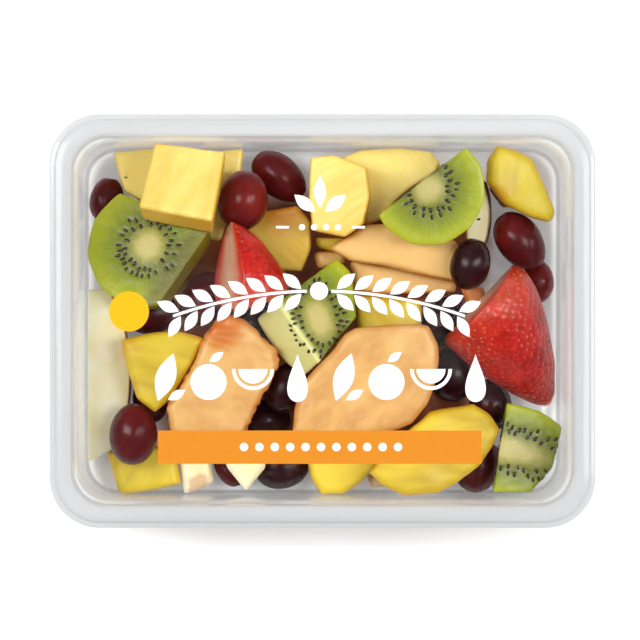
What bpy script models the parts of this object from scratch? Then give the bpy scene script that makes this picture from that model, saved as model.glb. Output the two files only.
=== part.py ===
"""A sealed tray of fruit salad: a clear tray with a flange, a flat film over it, and cut fruit heaped inside.

Units are metres. X runs along the tray, Y across it and Z up.
The origin is the middle of the tray's foot.
A place in the heap is read from a photograph taken from above, as pixels of a 640 x 640 picture.
"""

from collections import namedtuple
from math import cos, hypot, pi, radians, sin

import bmesh
import bpy
import numpy as np
from mathutils import Matrix, Vector

MM = 0.001
GAP = 0.3 * MM  # clear space between two pieces that touch

# The tray is the standard 190 x 144 mm footprint of a film-sealed fruit tray.
TRAY_LENGTH = 190 * MM
TRAY_WIDTH = 144 * MM
TRAY_HEIGHT = 50 * MM
TRAY_WALL = 0.8 * MM
TRAY_CORNER = 17.5 * MM  # corner radius at the flange's outer edge
FLANGE_WIDTH = 7.6 * MM
LIP_DROP = 2.6 * MM  # the flange's outer edge is turned down by this
FLOOR_INSET = 14.2 * MM  # from the flange's outer edge in to the flat floor
CORNER_STEPS = 5

FILM_THICKNESS = 0.3 * MM
FILM_INSET = 1.9 * MM

# The picture's scale: the tray's 190 mm are 546.5 pixels across it. It is assumed to be seen from 2 m above,
# so the fruit, taken as 25 mm high on average, looks a little smaller than the flange does.
PIXEL = TRAY_LENGTH / 546.5
PICTURE_HEIGHT = 2000 * MM
FRUIT_HEIGHT = 25 * MM
FRUIT_PIXEL = PIXEL * (PICTURE_HEIGHT - FRUIT_HEIGHT) / (PICTURE_HEIGHT - TRAY_HEIGHT)
TRAY_CENTRE_U = 322.5
TRAY_CENTRE_V = 321.0

CELL = 0.4 * MM  # grid on which a piece is let down into the heap
MOST_SHIFT = 8  # cells that a piece may slide sideways to lie lower
SHIFT_STEP = 2
SHIFT_COST = 2.6  # height that a shift has to win, per length of shift
SLIVER = 1e-9  # a triangle seen edge-on covers no cell
RIM = 0.01  # share of a triangle by which a cell's middle may lie outside it
CLEARANCE = 0.1 * MM  # a piece stops this far above what it comes to rest on
SNAP = 0.1 * MM  # a knife cut takes a corner this near as its own
PLACE_GRID = 0.0001 * MM  # corners are put in order by their places on this grid
TIE = 0.01 * MM  # a shift has to win by this over one that was tried before it

COLOURS = {
    "tray": (0.86, 0.88, 0.90, 0.35, 0.12),
    "film": (0.93, 0.94, 0.95, 0.20, 0.08),
    "grape": (0.16, 0.035, 0.05, 1.0, 0.22),
    "kiwi": (0.38, 0.48, 0.06, 1.0, 0.35),
    "strawberry": (0.62, 0.05, 0.03, 1.0, 0.30),
    "pineapple": (0.93, 0.72, 0.16, 1.0, 0.40),
    "mango": (0.93, 0.62, 0.04, 1.0, 0.32),
    "melon": (0.90, 0.48, 0.14, 1.0, 0.38),
    "apple": (0.90, 0.80, 0.50, 1.0, 0.42),
}

# Pieces of fruit: places and outlines in pixels of the picture, sizes in millimetres, angles in degrees.
# A carved piece is what is left of a whole fruit, centred at its place, after cuts by straight knives, each a
# direction and how far from the fruit's centre it passes. A chunk is a block with an outline seen from above.
Grape = namedtuple("Grape", "name at width length turn lift")
Carved = namedtuple("Carved", "name fruit at axis face size knives")
Chunk = namedtuple("Chunk", "name fruit outline thick lean")


def material(name):
    """The finish of one kind of piece: a Principled BSDF with its colour, alpha and roughness."""
    found = bpy.data.materials.get(name)
    if found:
        return found
    red, green, blue, alpha, roughness = COLOURS[name]
    made = bpy.data.materials.new(name)
    made.use_nodes = True
    shader = made.node_tree.nodes["Principled BSDF"]
    shader.inputs["Base Color"].default_value = (red, green, blue, 1)
    shader.inputs["Alpha"].default_value = alpha
    shader.inputs["Roughness"].default_value = roughness
    shader.inputs["Metallic"].default_value = 0
    return made


def add_object(name, kind, bm):
    """Makes a named object of the closed mesh in bm."""
    bmesh.ops.recalc_face_normals(bm, faces=bm.faces[:])
    mesh = bpy.data.meshes.new(name)
    bm.to_mesh(mesh)
    bm.free()
    mesh.materials.append(material(kind))
    mesh.shade_smooth()
    mesh.set_sharp_from_angle(angle=radians(35))
    made = bpy.data.objects.new(name, mesh)
    bpy.context.scene.collection.objects.link(made)
    return made


# The tray and its film

def rounded_rectangle(length, width, radius):
    """Points round a rectangle with round corners, counter-clockwise."""
    points = []
    for corner, (side_x, side_y) in enumerate([(1, 1), (-1, 1), (-1, -1), (1, -1)]):
        middle_x = side_x * (length / 2 - radius)
        middle_y = side_y * (width / 2 - radius)
        for step in range(CORNER_STEPS + 1):
            angle = (corner + step / CORNER_STEPS) * pi / 2
            points.append((middle_x + radius * cos(angle), middle_y + radius * sin(angle)))
    return points


def corner_radius(inset):
    """The tray's corners get tighter quickly across the flange, and slowly down the wall."""
    across_flange = min(inset, FLANGE_WIDTH)
    down_wall = max(inset - FLANGE_WIDTH, 0)
    return TRAY_CORNER - 0.66 * across_flange - 0.18 * down_wall


def inner_profile():
    """(inset, height) down the tray's upper side, from the lip's foot to the edge of the floor."""
    top = TRAY_HEIGHT
    return [
        (0.0, top - LIP_DROP),
        (0.1 * MM, top - 1.3 * MM),
        (0.6 * MM, top - 0.8 * MM),
        (1.7 * MM, top - 0.8 * MM),
        (2.1 * MM, top),
        (FLANGE_WIDTH - 0.5 * MM, top),
        (FLANGE_WIDTH + 0.2 * MM, top - 0.8 * MM),
        (FLANGE_WIDTH + 0.7 * MM, top - 5.0 * MM),
        (FLANGE_WIDTH + 2.0 * MM, top - 6.4 * MM),
        (FLOOR_INSET - 3.4 * MM, 7.0 * MM),
        (FLOOR_INSET - 2.7 * MM, 3.6 * MM),
        (FLOOR_INSET - 1.2 * MM, TRAY_WALL + 0.8 * MM),
        (FLOOR_INSET, TRAY_WALL),
    ]


def outer_profile(points):
    """The same line moved by the wall's thickness to the tray's under side."""
    moved = []
    for i, (inset, height) in enumerate(points):
        before = points[max(i - 1, 0)]
        after = points[min(i + 1, len(points) - 1)]
        run, rise = after[0] - before[0], after[1] - before[1]
        size = hypot(run, rise)
        moved.append((inset + rise / size * TRAY_WALL, height - run / size * TRAY_WALL))
    moved[0] = (points[0][0] + TRAY_WALL, points[0][1])
    moved[-1] = (points[-1][0], 0.0)
    return moved


def add_ring(bm, length, width, radius, height):
    return [bm.verts.new((x, y, height)) for x, y in rounded_rectangle(length, width, radius)]


def join_rings(bm, rings):
    for low, high in zip(rings, rings[1:]):
        for i in range(len(low)):
            j = (i + 1) % len(low)
            bm.faces.new((low[i], low[j], high[j], high[i]))


def add_tray():
    """One thin shell: down the inside from lip to floor, and back under it."""
    bm = bmesh.new()
    inside = inner_profile()
    rings = []
    for inset, height in inside + outer_profile(inside)[::-1]:
        size = (TRAY_LENGTH - 2 * inset, TRAY_WIDTH - 2 * inset)
        rings.append(add_ring(bm, *size, corner_radius(inset), height))
    floor_top = len(inside) - 1
    join_rings(bm, rings[: floor_top + 1])
    join_rings(bm, rings[floor_top + 1 :])
    join_rings(bm, [rings[-1], rings[0]])
    bm.faces.new(rings[floor_top])
    bm.faces.new(rings[floor_top + 1])
    return add_object("tray", "tray", bm)


def add_film():
    """The flat film over the flange, cut a little smaller than the flange."""
    bm = bmesh.new()
    size = (TRAY_LENGTH - 2 * FILM_INSET, TRAY_WIDTH - 2 * FILM_INSET)
    base = TRAY_HEIGHT + GAP
    heights = (base, base + FILM_THICKNESS)
    rings = [add_ring(bm, *size, corner_radius(FILM_INSET), z) for z in heights]
    join_rings(bm, rings)
    for ring in rings:
        bm.faces.new(ring)
    return add_object("film", "film", bm)


# Shapes of the fruit

def place_in_tray(point):
    """A pixel of the picture as a place on the tray."""
    u, v = point
    return Vector(((u - TRAY_CENTRE_U) * FRUIT_PIXEL, (TRAY_CENTRE_V - v) * FRUIT_PIXEL, 0))


def lie(axis, face):
    """The rotation that lays local Z along axis, with local X as near face as it can be."""
    z = Vector(axis).normalized()
    x = (Vector(face) - Vector(face).dot(z) * z).normalized()
    return Matrix((x, z.cross(x), z)).transposed()


def in_order(bm):
    """The same closed shape made anew, with corners and faces in an order that only their places decide.

    Blender lists a sphere's faces and a cut's new corners in an order that can differ from run to run, and a
    face that isn't quite flat is split into triangles by that order.
    """
    bmesh.ops.recalc_face_normals(bm, faces=bm.faces[:])
    corners = sorted(bm.verts, key=lambda v: [round(c / PLACE_GRID) for c in v.co])
    place = {v: i for i, v in enumerate(corners)}
    loops = []
    for face in bm.faces:
        around = [place[v] for v in face.verts]
        start = around.index(min(around))
        loops.append(around[start:] + around[:start])
    anew = bmesh.new()
    made = [anew.verts.new(v.co) for v in corners]
    for loop in sorted(loops):
        anew.faces.new([made[i] for i in loop])
    bm.free()
    return anew


def ellipsoid(width, depth, height, segments, rings):
    bm = bmesh.new()
    bmesh.ops.create_uvsphere(bm, u_segments=segments, v_segments=rings, radius=1)
    bmesh.ops.scale(bm, vec=(width / 2, depth / 2, height / 2), verts=bm.verts[:])
    return in_order(bm)


def whole_berry(width, length):
    """A whole strawberry without its leaves: local Z runs from the shoulder, at 0, to the tip."""
    half = width / 2
    shape = [(0.0, 0.55), (0.03, 0.86), (0.10, 1.0), (0.24, 0.98), (0.42, 0.87)]
    shape += [(0.60, 0.70), (0.78, 0.49), (0.91, 0.28), (0.98, 0.12)]
    bm = bmesh.new()
    segments = 14
    rings = []
    for along, out in shape:
        angles = [2 * pi * i / segments for i in range(segments)]
        ring = [(half * out * cos(a), half * out * sin(a), length * along) for a in angles]
        rings.append([bm.verts.new(p) for p in ring])
    join_rings(bm, rings)
    bm.faces.new(rings[0])
    tip = bm.verts.new((0, 0, length))
    for i in range(segments):
        bm.faces.new((rings[-1][i], rings[-1][(i + 1) % segments], tip))
    return bm


def cut(bm, normal, distance):
    """One knife cut: takes away what lies past the plane, and closes the cut with a flat face."""
    bmesh.ops.recalc_face_normals(bm, faces=bm.faces[:])
    everything = bm.verts[:] + bm.edges[:] + bm.faces[:]
    done = bmesh.ops.bisect_plane(
        bm, geom=everything, dist=SNAP, plane_co=normal * distance, plane_no=normal, clear_outer=True
    )
    rim = [e for e in done["geom_cut"] if isinstance(e, bmesh.types.BMEdge)]
    bmesh.ops.edgeloop_fill(bm, edges=rim)
    return in_order(bm)


def add_grape(piece):
    """A whole grape, longest along its own X."""
    width, length = piece.width * MM, piece.length * MM
    bm = ellipsoid(width, width, length, 12, 7)
    bmesh.ops.rotate(bm, verts=bm.verts[:], matrix=Matrix.Rotation(pi / 2, 3, "Y"))
    made = add_object(piece.name, "grape", bm)
    made.rotation_euler = (0, -radians(piece.lift), radians(piece.turn))
    made.location = place_in_tray(piece.at)
    return made


def add_carved(piece):
    """A piece cut out of a whole fruit by straight knife cuts. Knives are given as seen in the tray."""
    if piece.fruit == "strawberry":
        bm = whole_berry(*(s * MM for s in piece.size))
    else:
        segments, rings = (16, 10) if piece.fruit == "kiwi" else (18, 14)
        bm = ellipsoid(*(s * MM for s in piece.size), segments, rings)
    turned = lie(piece.axis, piece.face)
    for normal, distance in piece.knives:
        bm = cut(bm, turned.transposed() @ Vector(normal).normalized(), distance * MM)
    made = add_object(piece.name, piece.fruit, bm)
    made.rotation_euler = turned.to_euler()
    made.location = place_in_tray(piece.at)
    return made


def drawn_in(points, distance):
    """The outline with each corner moved towards the middle."""
    middle = sum(points, Vector((0, 0))) / len(points)
    return [p - (p - middle).normalized() * min(distance, (p - middle).length / 2) for p in points]


def add_chunk(piece):
    """A cut block with the outline seen from above, soft edges, and a lean about X and Y."""
    outline = [place_in_tray(p).xy for p in piece.outline]
    middle = sum(outline, Vector((0, 0))) / len(outline)
    outline = [p - middle for p in outline]
    thick = piece.thick * MM
    crisp = piece.fruit == "pineapple"
    edge = (0.7 if crisp else 1.8) * MM
    levels = [(-0.5, 2.2 * edge), (-0.32, 0.8 * edge), (0.5 - edge / thick, 0), (0.5, edge)]
    bm = bmesh.new()
    rings = []
    for share, inset in levels:
        ring = drawn_in(outline, inset)
        rings.append([bm.verts.new((p.x, p.y, share * thick)) for p in ring])
    join_rings(bm, rings)
    bm.faces.new(rings[0])
    bm.faces.new(rings[-1])
    made = add_object(piece.name, piece.fruit, bm)
    made.rotation_euler = (radians(piece.lean[0]), radians(piece.lean[1]), 0)
    made.location = (middle.x, middle.y, 0)
    return made


# The heap: each piece is let down until it rests on the floor, the wall or the pieces under it

class Heap:
    """A grid over the tray that holds the height of what lies in each cell."""

    def __init__(self):
        self.columns = int(TRAY_LENGTH / CELL)
        self.rows = int(TRAY_WIDTH / CELL)
        x = (np.arange(self.columns) + 0.5) * CELL - TRAY_LENGTH / 2
        y = (np.arange(self.rows) + 0.5) * CELL - TRAY_WIDTH / 2
        radius = corner_radius(FLOOR_INSET)
        over_x = np.abs(x) - (TRAY_LENGTH / 2 - FLOOR_INSET - radius)
        over_y = np.abs(y) - (TRAY_WIDTH / 2 - FLOOR_INSET - radius)
        over_x, over_y = np.meshgrid(over_x, over_y, indexing="ij")
        outside = np.hypot(np.maximum(over_x, 0), np.maximum(over_y, 0))
        past_floor = outside + np.minimum(np.maximum(over_x, over_y), 0) - radius
        # The tray's inner line as heights over the distance past the floor's edge
        line = [(FLOOR_INSET - GAP - inset, height + GAP) for inset, height in inner_profile()[::-1]]
        self.top = np.interp(past_floor, [p[0] for p in line], [p[1] for p in line])

    def column_of(self, x):
        return (x + TRAY_LENGTH / 2) / CELL - 0.5

    def row_of(self, y):
        return (y + TRAY_WIDTH / 2) / CELL - 0.5

    def shade(self, corners, start, pick):
        """Fills a grid with the highest or lowest height of the triangles over each cell."""
        filled = np.full((self.columns, self.rows), start)
        for a, b, c in corners:
            columns = self.column_of(np.array([a[0], b[0], c[0]]))
            rows = self.row_of(np.array([a[1], b[1], c[1]]))
            low_i, high_i = int(np.ceil(columns.min())), int(np.floor(columns.max()))
            low_j, high_j = int(np.ceil(rows.min())), int(np.floor(rows.max()))
            low_i, low_j = max(low_i, 0), max(low_j, 0)
            high_i, high_j = min(high_i, self.columns - 1), min(high_j, self.rows - 1)
            if high_i < low_i or high_j < low_j:
                continue
            (x1, x2, x3), (y1, y2, y3) = columns, rows
            area = (y2 - y3) * (x1 - x3) + (x3 - x2) * (y1 - y3)
            if abs(area) < SLIVER:
                continue
            i, j = np.meshgrid(
                np.arange(low_i, high_i + 1), np.arange(low_j, high_j + 1), indexing="ij"
            )
            u = ((y2 - y3) * (i - x3) + (x3 - x2) * (j - y3)) / area
            v = ((y3 - y1) * (i - x3) + (x1 - x3) * (j - y3)) / area
            w = 1 - u - v
            inside = (u > -RIM) & (v > -RIM) & (w > -RIM)
            heights = u * a[2] + v * b[2] + w * c[2]
            part = filled[low_i : high_i + 1, low_j : high_j + 1]
            part[inside] = pick(part[inside], heights[inside])
        return filled

    def settle(self, made):
        """Lets one piece down, sliding it a little where it can lie lower, and adds it to the heap."""
        corners = swollen_triangles(made)
        low = self.shade(corners, np.inf, np.minimum)
        i, j = np.nonzero(np.isfinite(low))
        under = low[i, j]
        best = None
        steps = range(-MOST_SHIFT, MOST_SHIFT + 1, SHIFT_STEP)
        for di in steps:
            for dj in steps:
                a, b = i + di, j + dj
                if a.min() < 0 or b.min() < 0 or a.max() >= self.columns or b.max() >= self.rows:
                    continue
                height = (self.top[a, b] - under).max()
                cost = height + SHIFT_COST * CELL * hypot(di, dj)
                if best is None or cost < best[0] - TIE:
                    best = (cost, di, dj, height)
        _, di, dj, height = best
        move = Vector((di * CELL, dj * CELL, height + CLEARANCE))
        made.location = made.location + move
        moved = [[Vector(p) + move for p in triangle] for triangle in corners]
        high = self.shade(moved, -np.inf, np.maximum)
        self.top = np.maximum(self.top, high)


def swollen_triangles(made):
    """The piece's triangles in the tray, each corner moved out by the gap."""
    bpy.context.view_layer.update()
    mesh = made.data
    mesh.calc_loop_triangles()
    place = made.matrix_world
    turned = place.to_3x3()
    points = [place @ v.co + (turned @ v.normal) * GAP for v in mesh.vertices]
    return [[points[k] for k in t.vertices] for t in mesh.loop_triangles]


def fruit():
    """Every piece that shows, from the floor of the tray to the top of the heap."""
    up, down = (0, 0, 1), (0, 0, -1)
    north, south, west = (0, 1, 0), (0, -1, 0), (-1, 0, 0)
    return [
        Carved(
            "apple_wedge_left", "apple", (50, 377), north, up, (50, 52, 90),
            [(west, -10.5), ((0.12, 0, 1), 3), ((-0.2, 0, -1), 12), ((-1, 0, -1), 0.4), (north, 31),
             ((0.47, -0.88, 0), 31.5)],
        ),
        Grape("grape_left_wall", (100, 251), 14.5, 18, 90, 0),
        Grape("grape_corner", (105, 199), 12.5, 16.5, 80, 0),
        Chunk(
            "pineapple_corner", "pineapple",
            [(113, 151), (156, 147), (160, 196), (141, 198), (124, 188)], 17, (0, 4),
        ),
        Chunk(
            "pineapple_back", "pineapple",
            [(203, 151), (242, 147), (239, 172), (229, 208), (219, 238), (203, 234)], 14, (0, 0),
        ),
        Grape("grape_under_kiwi", (151, 313), 15.5, 19, 10, 0),
        Grape("grape_under_berry", (201, 298), 16, 20, 60, 0),
        Grape("grape_left_gap", (146, 398), 12.5, 17, 100, 0),
        Chunk(
            "mango_left", "mango",
            [(123, 340), (148, 334), (176, 331), (203, 339), (193, 362), (176, 388), (165, 403), (155, 411),
             (139, 398), (127, 366)],
            15, (0, 0),
        ),
        Chunk(
            "mango_bottom_left", "mango",
            [(104, 458), (120, 452), (171, 453), (178, 489), (150, 495), (117, 498), (110, 478)], 14, (0, 0),
        ),
        Chunk(
            "apple_bottom_left", "apple",
            [(176, 450), (206, 451), (210, 482), (196, 490), (182, 494)], 13, (0, 0),
        ),
        Grape("grape_bottom_left", (229, 466), 13, 16.5, -70, 0),
        Grape("grape_bottom", (281, 467), 17, 20, 3, 0),
        Grape("grape_middle_low", (264, 424), 15.5, 19.5, 10, 0),
        Grape("grape_middle", (286, 388), 15, 19, 60, 0),
        Chunk(
            "apple_bottom", "apple",
            [(220, 446), (266, 448), (264, 468), (246, 490), (228, 468)], 8, (3, 0),
        ),
        Grape("grape_centre", (257, 324), 14, 18, 45, 0),
        Chunk(
            "mango_bottom", "mango",
            [(306, 450), (340, 445), (376, 452), (378, 464), (362, 482), (343, 494), (322, 494), (312, 478)],
            16, (0, 0),
        ),
        Chunk(
            "apple_chip", "apple",
            [(366, 478), (380, 470), (389, 478), (386, 487), (370, 489)], 7, (0, 0),
        ),
        Grape("grape_bottom_right", (480, 474), 16, 19.5, 60, 0),
        Grape("grape_right_low", (492, 405), 15.5, 19, 100, 0),
        Grape("grape_right_mid", (456, 374), 16.5, 20.5, 80, 0),
        Chunk(
            "mango_bottom_right", "mango",
            [(407, 432), (429, 413), (472, 405), (488, 415), (497, 430), (491, 445), (479, 464), (453, 484),
             (436, 493), (402, 494), (380, 484), (368, 473), (387, 448)],
            15, (-3, 4),
        ),
        Chunk(
            "apple_inner", "apple",
            [(474, 358), (487, 362), (489, 374), (478, 376), (472, 368)], 8, (0, 0),
        ),
        Grape("grape_right_high", (446, 321), 15, 18.5, 70, 0),
        Grape("grape_right_wall", (538, 281), 13, 16, 90, 0),
        Carved(
            "apple_wedge_right", "apple", (396, 214), north, up, (70, 68, 70),
            [(west, -25), ((0.1, 0, 1), 5), ((-0.15, 0, -1), 8), (north, 12), (south, 10.5)],
        ),
        Chunk("melon_chip", "melon", [(486, 186), (502, 184), (518, 204), (500, 206)], 9, (0, 0)),
        Chunk("melon_right", "melon", [(462, 287), (484, 287), (488, 306), (470, 306)], 14, (0, 0)),
        Chunk(
            "melon_mid_low", "melon",
            [(351, 261), (388, 265), (431, 275), (457, 282), (456, 291), (432, 293), (384, 293), (354, 290)],
            14, (0, 0),
        ),
        Chunk(
            "mango_mid", "mango",
            [(356, 294), (390, 299), (422, 301), (422, 326), (402, 336), (358, 334)], 13, (0, 0),
        ),
        Chunk("melon_small", "melon", [(314, 252), (346, 252), (346, 262), (318, 268)], 9, (0, 0)),
        Chunk(
            "pineapple_golden", "pineapple",
            [(246, 232), (266, 211), (298, 206), (311, 222), (311, 248), (302, 270), (274, 267)], 14, (3, -4),
        ),
        Chunk(
            "pineapple_mid_back", "pineapple",
            [(345, 155), (362, 148), (400, 146), (432, 149), (441, 160), (437, 169), (412, 185), (395, 199),
             (388, 214), (368, 222), (362, 190)],
            16, (-6, -4),
        ),
        Chunk(
            "pineapple_mid", "pineapple",
            [(313, 159), (335, 157), (367, 169), (370, 198), (364, 224), (346, 236), (315, 230), (311, 200)],
            15, (0, -5),
        ),
        Chunk(
            "mango_small", "mango",
            [(315, 239), (346, 241), (345, 249), (332, 253), (317, 249)], 8, (0, 0),
        ),
        Chunk(
            "melon_mid_top", "melon",
            [(330, 248), (347, 238), (364, 226), (390, 225), (416, 230), (455, 242), (459, 256), (457, 281),
             (431, 276), (388, 266), (351, 260)],
            15, (0, 0),
        ),
        Carved(
            "kiwi_centre", "kiwi", (316, 316), (0.40, -0.70, 0.59), (0.30, 0.25, 0.92), (40, 40, 54),
            [((0.30, 0.22, 0.93), 2), ((-0.62, -0.42, 0.66), 10), ((1, 0.1, 0), 14), ((-0.2, -0.2, -1), 12),
             ((-0.6, 0.8, 0), 12), ((0.747, -0.665, -0.1), 11)],
        ),
        Chunk(
            "melon_left", "melon",
            [(200, 340), (212, 321), (226, 314), (242, 320), (256, 333), (272, 348), (274, 362), (266, 380),
             (254, 402), (242, 428), (226, 444), (190, 444), (170, 428), (165, 406), (177, 386), (191, 362)],
            17, (0, 3),
        ),
        Grape("grape_lower_left", (133.5, 434), 17.4, 22, 85, 8),
        Carved(
            "kiwi_left", "kiwi", (149, 247), (-0.20, 0.20, 0.96), (0.3, 1, 0), (44, 44, 60),
            [((-0.20, 0.20, 0.96), 2), ((0.20, -0.20, -0.96), 9), ((0.375, 0.927, 0), 13.8),
             ((0.75, -0.5, 0.25), 15.5)],
        ),
        Grape("grape_top", (279, 171), 15.2, 22.5, -40, 0),
        Grape("grape_upper_left", (243, 200), 18.4, 21.5, 80, 8),
        Chunk(
            "pineapple_front", "pineapple",
            [(157, 145), (225, 154), (213, 226), (143, 211)], 15, (-19, 0),
        ),
        Carved(
            "strawberry_left", "strawberry", (254, 309), (-0.22, 0.95, 0.15), (-0.93, 0, 0.37), (32, 30),
            [((-0.93, 0, 0.37), 7), ((0.3, 0, -1), 8)],
        ),
        Chunk(
            "melon_big", "melon",
            [(355, 328), (396, 324), (427, 326), (436, 344), (437, 360), (434, 382), (426, 403), (411, 422),
             (400, 427), (381, 431), (320, 438), (292, 432), (295, 409), (303, 382), (319, 365), (335, 348),
             (345, 334)],
            16, (2, 2),
        ),
        Grape("grape_right", (470, 264), 14.5, 18.5, 75, 5),
        Carved(
            "kiwi_right", "kiwi", (428, 190), (0.05, -0.05, 1), (0.3, 1, 0), (40, 40, 56),
            [((0.05, -0.05, 1), 2), (down, 10), ((-0.61, 0.79, 0), 3.3)],
        ),
        Chunk(
            "mango_top_right", "mango",
            [(493, 144), (512, 149), (528, 157), (538, 177), (551, 210), (546, 219), (525, 213), (500, 201),
             (483, 180), (485, 158)],
            15, (0, 7),
        ),
        Grape("grape_upper_right", (523, 241), 16.2, 23, -54, 0),
        Carved(
            "strawberry_right", "strawberry", (472, 287), (0.53, -0.80, -0.27), up, (38, 52),
            [((0, 0.2, -1), 7), ((-0.743, 0.667, 0.1), -5.8)],
        ),
        Carved(
            "kiwi_bottom_right", "kiwi", (501, 451), (0.95, -0.24, -0.2), up, (35, 35, 60),
            [((0.2, 0, 1), 0.5), ((-0.966, 0.15, 0), -1), ((0.966, -0.259, 0), 20.5), ((-0.1, 0, -1), 13),
             ((0.2, 0.97, 0), 15.6), ((0.75, -0.66, 0), 19.5), (south, 16)],
        ),
    ]


def build():
    for old in list(bpy.data.objects):
        bpy.data.objects.remove(old)
    add_tray()
    add_film()
    heap = Heap()
    makers = {Grape: add_grape, Carved: add_carved, Chunk: add_chunk}
    for piece in fruit():
        heap.settle(makers[type(piece)](piece))
    bpy.context.view_layer.update()


build()
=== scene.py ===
# %% [markdown]
# # A sealed tray of fruit salad
# This script dresses a plain model of a fruit salad in its clear tray. The plain model, the frame, holds
# a tray, a film and more than fifty pieces of fruit at their real size and place. Here each piece gets
# its real surface: the grapes' bloom, the kiwi's rays and seeds, the pineapple's fibres. The frame is
# loaded first, because every piece below takes its place from it.

# %% Load the frame
from math import cos, hypot, pi, radians, sin
from random import Random

import bmesh
import bpy
import numpy as np
from mathutils import Matrix, Vector, kdtree, noise


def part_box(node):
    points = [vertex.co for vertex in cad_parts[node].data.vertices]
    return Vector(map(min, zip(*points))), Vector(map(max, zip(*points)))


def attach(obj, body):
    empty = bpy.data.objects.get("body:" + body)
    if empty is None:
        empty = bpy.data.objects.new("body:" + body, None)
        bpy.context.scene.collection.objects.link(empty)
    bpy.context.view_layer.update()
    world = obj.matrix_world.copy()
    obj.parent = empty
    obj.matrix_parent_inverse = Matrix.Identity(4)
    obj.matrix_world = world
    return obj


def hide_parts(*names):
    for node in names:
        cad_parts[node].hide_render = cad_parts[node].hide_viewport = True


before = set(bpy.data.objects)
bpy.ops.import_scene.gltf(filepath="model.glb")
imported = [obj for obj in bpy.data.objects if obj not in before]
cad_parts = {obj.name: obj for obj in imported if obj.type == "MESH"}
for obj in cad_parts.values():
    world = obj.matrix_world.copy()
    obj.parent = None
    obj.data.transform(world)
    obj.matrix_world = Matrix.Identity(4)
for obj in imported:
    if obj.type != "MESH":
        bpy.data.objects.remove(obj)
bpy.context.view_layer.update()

MM = 0.001


# %% [markdown]
# ## The camera
# The picture was taken from straight above with a long lens, so the tray's walls hardly show. A camera 2
# m up with a lens of about 315 mm gives that flat look. The lens follows from two sizes: the 640 pixels
# of the picture cover a little more than the 190 mm of the tray, at the height of its flange.

# %% Camera
TRAY_LENGTH, TRAY_WIDTH, TRAY_HEIGHT = 190 * MM, 144 * MM, 50 * MM
PICTURE = 640
PIXEL = TRAY_LENGTH / 546.5
CAMERA_HEIGHT = 2000 * MM
SENSOR = 36
TRAY_CENTRE_U, TRAY_CENTRE_V = 322.5, 321.0


def at_pixel(pixel):
    """Where a place in the picture is on the tray, in metres."""
    return (pixel[0] - TRAY_CENTRE_U) * PIXEL, (TRAY_CENTRE_V - pixel[1]) * PIXEL


def linked(name, data):
    """A new object, put into the scene."""
    made = bpy.data.objects.new(name, data)
    bpy.context.scene.collection.objects.link(made)
    return made


camera = linked("camera", bpy.data.cameras.new("camera"))
bpy.context.scene.camera = camera
camera.data.sensor_width = SENSOR
camera.data.lens = SENSOR * (CAMERA_HEIGHT - TRAY_HEIGHT) / (PICTURE * PIXEL)
camera.location = (*at_pixel((PICTURE / 2, PICTURE / 2)), CAMERA_HEIGHT)
camera.data.clip_end = 10
print("camera lens", round(camera.data.lens), "mm")

# %% [markdown]
# ## Light
# Two long soft boxes hang to the left and right of the camera. They show on every grape as two pale
# streaks, and because both hang a little behind the tray's middle, its faint shadow falls in front. A
# white world fills the rest. More light comes up through the tray from the floor, which is a light table
# and is made near the end. The view transform is Standard, because it keeps the fruit's colours as vivid
# as they are set.

# %% Lights and world
BOX_SIZE = (0.36, 1.00)
WORLD_LIGHT = 0.34


def soft_box(name, place, watts):
    light = bpy.data.lights.new(name, "AREA")
    light.shape = "RECTANGLE"
    light.size, light.size_y = BOX_SIZE
    light.energy = watts
    lamp = linked(name, light)
    lamp.location = place
    lamp.rotation_euler = (-Vector(place)).to_track_quat("-Z", "Y").to_euler()


soft_box("left_box", (-0.75, 0.22, 1.15), 13.6)
soft_box("right_box", (0.80, 0.06, 1.15), 12.7)

world = bpy.data.worlds.new("white_room")
bpy.context.scene.world = world
world.use_nodes = True
world.node_tree.nodes["Background"].inputs["Color"].default_value = (1.0, 1.0, 1.0, 1)
world.node_tree.nodes["Background"].inputs["Strength"].default_value = WORLD_LIGHT
bpy.context.scene.view_settings.view_transform = "Standard"

# %% [markdown]
# ## Materials, and the words for them
# A finish is a small network of nodes. To keep each one short, a few helpers come first: a colour as one
# reads it from a screen, a node with its inputs, a blend of two colours and a ramp. Patterns don't use
# the object's own coordinates but two values stored on each mesh: "grain", the place in mm, turned and
# moved for each piece so that no two look alike, and "whole", the place within the whole fruit, where 1
# is its skin.

# %% Helpers for materials
def screen(red, green, blue):
    """A screen colour, 0 to 255, as the linear colour that a shader wants."""
    parts = [c / 255 for c in (red, green, blue)]
    return (*[c / 12.92 if c <= 0.04045 else ((c + 0.055) / 1.055) ** 2.4 for c in parts], 1)


def colour_of(given):
    """Three numbers as a screen colour, one as a grey, and anything else as it is."""
    if isinstance(given, float):
        return (given, given, given, 1)
    return screen(*given) if isinstance(given, tuple) and len(given) == 3 else given


def new_material(name):
    """Starts a material. The helpers build in the node tree of the one that was started last."""
    global tree, shader
    made = bpy.data.materials.new(name)
    made.use_nodes = True
    tree, shader = made.node_tree, made.node_tree.nodes["Principled BSDF"]
    print("finish:", name)
    return made


def connect(value, socket):
    if isinstance(value, bpy.types.NodeSocket):
        tree.links.new(value, socket)
    else:
        socket.default_value = value


def put(node, **inputs):
    """Sets a node's inputs by name, as values or as sockets to link."""
    for name, value in inputs.items():
        connect(value, node.inputs[name.replace("_", " ")])


def add(kind, settings=None, **inputs):
    """A new node, with its settings by name and its inputs."""
    node = tree.nodes.new("ShaderNode" + kind)
    for name, value in (settings or {}).items():
        setattr(node, name, value)
    put(node, **inputs)
    return node


def stored(name, output="Vector"):
    return add("Attribute", {"attribute_name": name}).outputs[output]


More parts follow.
